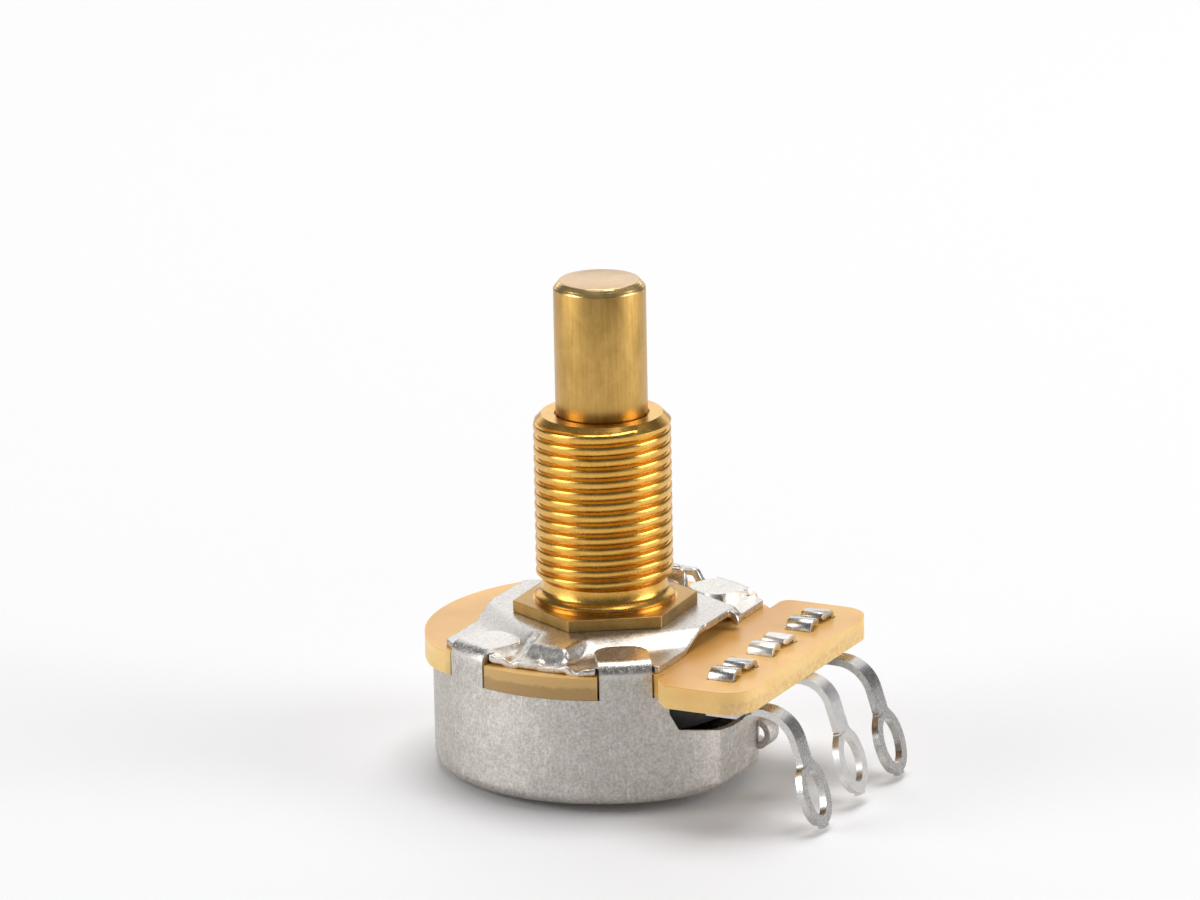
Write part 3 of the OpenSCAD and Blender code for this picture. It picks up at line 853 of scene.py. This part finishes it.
# Terminals
def lug(name, x, z_top, inside_r, y_bend, length):
    """A flat blank with an oval eyelet, bent down over a smooth radius."""
    middle = inside_r + SHEET / 2
    bend = middle * math.radians(BEND_DEG)
    tip = bend + length
    eye = tip - EYE_LEN / 2
    half = STRIP_W / 2
    side = [(-0.8, half), (eye - EYE_LEN / 2 + 0.02, half), (eye - EYE_LEN / 2 + 0.12, half + 0.10),
            (eye - EYE_LEN / 2 + 0.34, half + 0.08)]
    for k in range(5, 36):
        a = math.pi - math.pi * k / 40
        side.append((eye + EYE_LEN / 2 * math.cos(a), EYE_W / 2 * math.sin(a) ** 0.92))
    side += [(tip - 0.03, 0.36), (tip + 0.17, 0.34)]
    outline = side + [(u, -v) for u, v in reversed(side)]
    blank = slab(name, [(v, -u) for u, v in outline], 0, SHEET)
    cut(blank, rod(0, -eye, -1, 2, 1, 48, (HOLE_W / 2, HOLE_LEN / 2)))
    bend_steps = 14
    score(blank, [-k * bend / bend_steps for k in range(bend_steps + 1)])

    def fold(px, py, pz):
        u = -py
        depth = SHEET - pz
        angle = math.radians(BEND_DEG)
        if u <= 0:
            return px + x, y_bend - u, z_top - depth
        turn = min(u, bend) / bend * angle
        outer = inside_r + SHEET - depth
        cy, cz = y_bend, z_top - SHEET - inside_r
        along = max(0.0, u - bend)
        fy = cy - outer * math.sin(turn) - along * math.cos(turn)
        fz = cz + outer * math.cos(turn) - along * math.sin(turn)
        return px + x, fy, fz

    shape(blank, fold)
    return outward(blank)


NEAR_EAR = [(0, -0.3), (0, 0.12), (0.05, 0.28), (0.18, 0.44), (0.40, 0.53), (0.68, 0.535),
            (0.98, 0.47), (1.26, 0.36), (1.46, 0.27)]
FAR_EAR = [(0, -0.3), (0, 0.10), (0.05, 0.25), (0.19, 0.38), (0.42, 0.43), (0.70, 0.41),
           (0.96, 0.35), (1.18, 0.34), (1.38, 0.42), (1.54, 0.56)]


def ear(x, side, line, y0):
    """A strip that comes up through its slot, folds over the wafer and ends in a slight curl."""
    half = 0.2
    near, far = [], []
    for k, (u, z) in enumerate(line):
        before = line[max(k - 1, 0)]
        after = line[min(k + 1, len(line) - 1)]
        run = Vector((after[0] - before[0], after[1] - before[1])).normalized()
        near.append((u - run[1] * half, z + run[0] * half))
        far.append((u + run[1] * half, z - run[0] * half))
    outline = near + far[::-1]
    obj = slab("ear", outline, 0, EAR_W)

    def place(u, v, w):
        """Stands the strip in its slot, a little narrower towards its free end."""
        taper = 0.12 * ease((u - 0.5) / 0.9)
        inward = -taper if w > 1 else taper
        return x + side * (EAR_X - u), y0 + w + inward, WAFER_TOP + v

    shape(obj, place)
    return outward(obj)


def terminal(node, name, x, finish, slot, outer):
    """A terminal: the part inside the can, two ears over the wafer and the lug."""
    top = WAFER_TOP - WAFER_T - (SHEET if outer else 0.0)
    inside_r = 2.4 if outer else 2.0
    y_bend = low("wafer", 1) + (0.6 if outer else 0.45)
    length = 6.05 if outer else 6.4
    obj = twin(node, name)
    cut_plane(obj, (0, y_bend + 0.55, 0), (0, 1, 0), keep_low=False)
    cut_plane(obj, (0, 0, WAFER_TOP - 0.12), (0, 0, 1))
    soften(obj, 0.05, 35, 2)
    y0 = low("wafer", 1) + 1.92
    for side, line in ((-1, NEAR_EAR), (1, FAR_EAR)):
        fold = ear(x, side, line, y0)
        soften(fold, 0.05, 35, 2)
        join(obj, fold)
    blade = lug(name + "_blade", x, top - 0.004, inside_r, y_bend, length)
    soften(blade, 0.022, 45, 1)
    join(obj, blade)
    smooth(obj, 32)
    return fit(obj, finish, "housing", slot, node)


bushing()
shaft()
inner_pieces()
can()
plate()
wafer()
terminal("terminal_left", "lug_left", -LUG_PITCH, lug_tin, "lug_tin", True)
terminal("terminal_right", "lug_right", LUG_PITCH, lug_tin, "lug_tin", True)
terminal("terminal_centre", "lug_centre", 0.0, lug_silver, "lug_silver", False)


# Floor, light and camera
# Where the table touches, as (Y, Z) in millimetres
LUG_TIP = (-19.0, -1.22)
CAN_HEEL = (11.1, -0.02)

# The view in degrees, the lens in pixels, and the origin's place before the camera in millimetres
VIEW_AZIMUTH = -63.5
VIEW_ELEVATION = 15.968
VIEW_ROLL = -1.092
FOCAL_PX = 8534.0
IMAGE_W = 1200.0
OFF_RIGHT, OFF_DOWN, OFF_AWAY = 0.57, 21.01, 591.16


def floor():
    """The table, tilted to the plane through the can's back edge and the tips of the lugs."""
    lean = math.atan2(CAN_HEEL[1] - LUG_TIP[1], CAN_HEEL[0] - LUG_TIP[0])
    bpy.ops.mesh.primitive_plane_add(size=4.0)
    obj = named(bpy.context.object, "table")
    obj.location = (0, LUG_TIP[0] * MM, LUG_TIP[1] * MM)
    obj.rotation_euler = (lean, 0, 0)
    f = Finish("table_white")
    soft = f.noise((0.004, 0.004, 0.004), 2, 0.5)
    f.set(Base_Color=f.mix(soft, (0.86, 0.855, 0.865), (0.88, 0.875, 0.885)), Roughness=0.6)
    obj.data.materials.append(f.material)


def softbox(name, azimuth, elevation, distance, width, height, power, target=(0, 0, 0.014)):
    """An area lamp. Azimuth is measured round the object from the camera, to the right."""
    lamp = bpy.data.lights.new(name, "AREA")
    lamp.shape = "RECTANGLE"
    lamp.size = width
    lamp.size_y = height
    lamp.energy = power
    obj = bpy.data.objects.new(name, lamp)
    bpy.context.scene.collection.objects.link(obj)
    a = math.radians(VIEW_AZIMUTH + azimuth)
    e = math.radians(elevation)
    back = Vector((math.sin(a) * math.cos(e), -math.cos(a) * math.cos(e), math.sin(e)))
    obj.location = Vector(target) + back * distance
    obj.rotation_mode = "QUATERNION"
    obj.rotation_quaternion = (-back).to_track_quat("-Z", "Y")
    return obj


def camera():
    """The photo's view: its angle, its roll and its long lens."""
    a = math.radians(VIEW_AZIMUTH)
    e = math.radians(VIEW_ELEVATION)
    r = math.radians(VIEW_ROLL)
    right = Vector((math.cos(a), math.sin(a), 0))
    away = Vector((-math.sin(a) * math.cos(e), math.cos(a) * math.cos(e), -math.sin(e)))
    down = Vector((math.sin(a) * math.sin(e), -math.cos(a) * math.sin(e), -math.cos(e)))
    rolled_right = right * math.cos(r) - down * math.sin(r)
    rolled_down = right * math.sin(r) + down * math.cos(r)
    place = -(rolled_right * OFF_RIGHT + rolled_down * OFF_DOWN + away * OFF_AWAY) * MM
    turn = Matrix((rolled_right, -rolled_down, -away)).transposed()
    data = bpy.data.cameras.new("camera")
    data.sensor_fit = "HORIZONTAL"
    data.sensor_width = 36.0
    data.lens = FOCAL_PX / IMAGE_W * data.sensor_width
    data.clip_start, data.clip_end = 0.05, 20.0
    obj = bpy.data.objects.new("camera", data)
    bpy.context.scene.collection.objects.link(obj)
    obj.matrix_world = Matrix.Translation(place) @ turn.to_4x4()
    bpy.context.scene.camera = obj


def world():
    """A weak pale sky round the lamps."""
    made = bpy.data.worlds.new("studio")
    bpy.context.scene.world = made
    made.use_nodes = True
    back = made.node_tree.nodes["Background"]
    back.inputs[0].default_value = (0.98, 0.98, 1.0, 1)
    back.inputs[1].default_value = 0.13


floor()
world()
softbox("left_box", -75, 21, 0.75, 0.45, 0.55, 2.8)
softbox("right_box", 82, 19, 0.75, 0.45, 0.5, 3.2)
softbox("back_box", 180, 22, 0.9, 1.2, 0.5, 2.2)
softbox("top_box", 160, 75, 0.85, 0.55, 0.55, 4.9)
camera()

scene = bpy.context.scene
scene.view_settings.view_transform = "Standard"
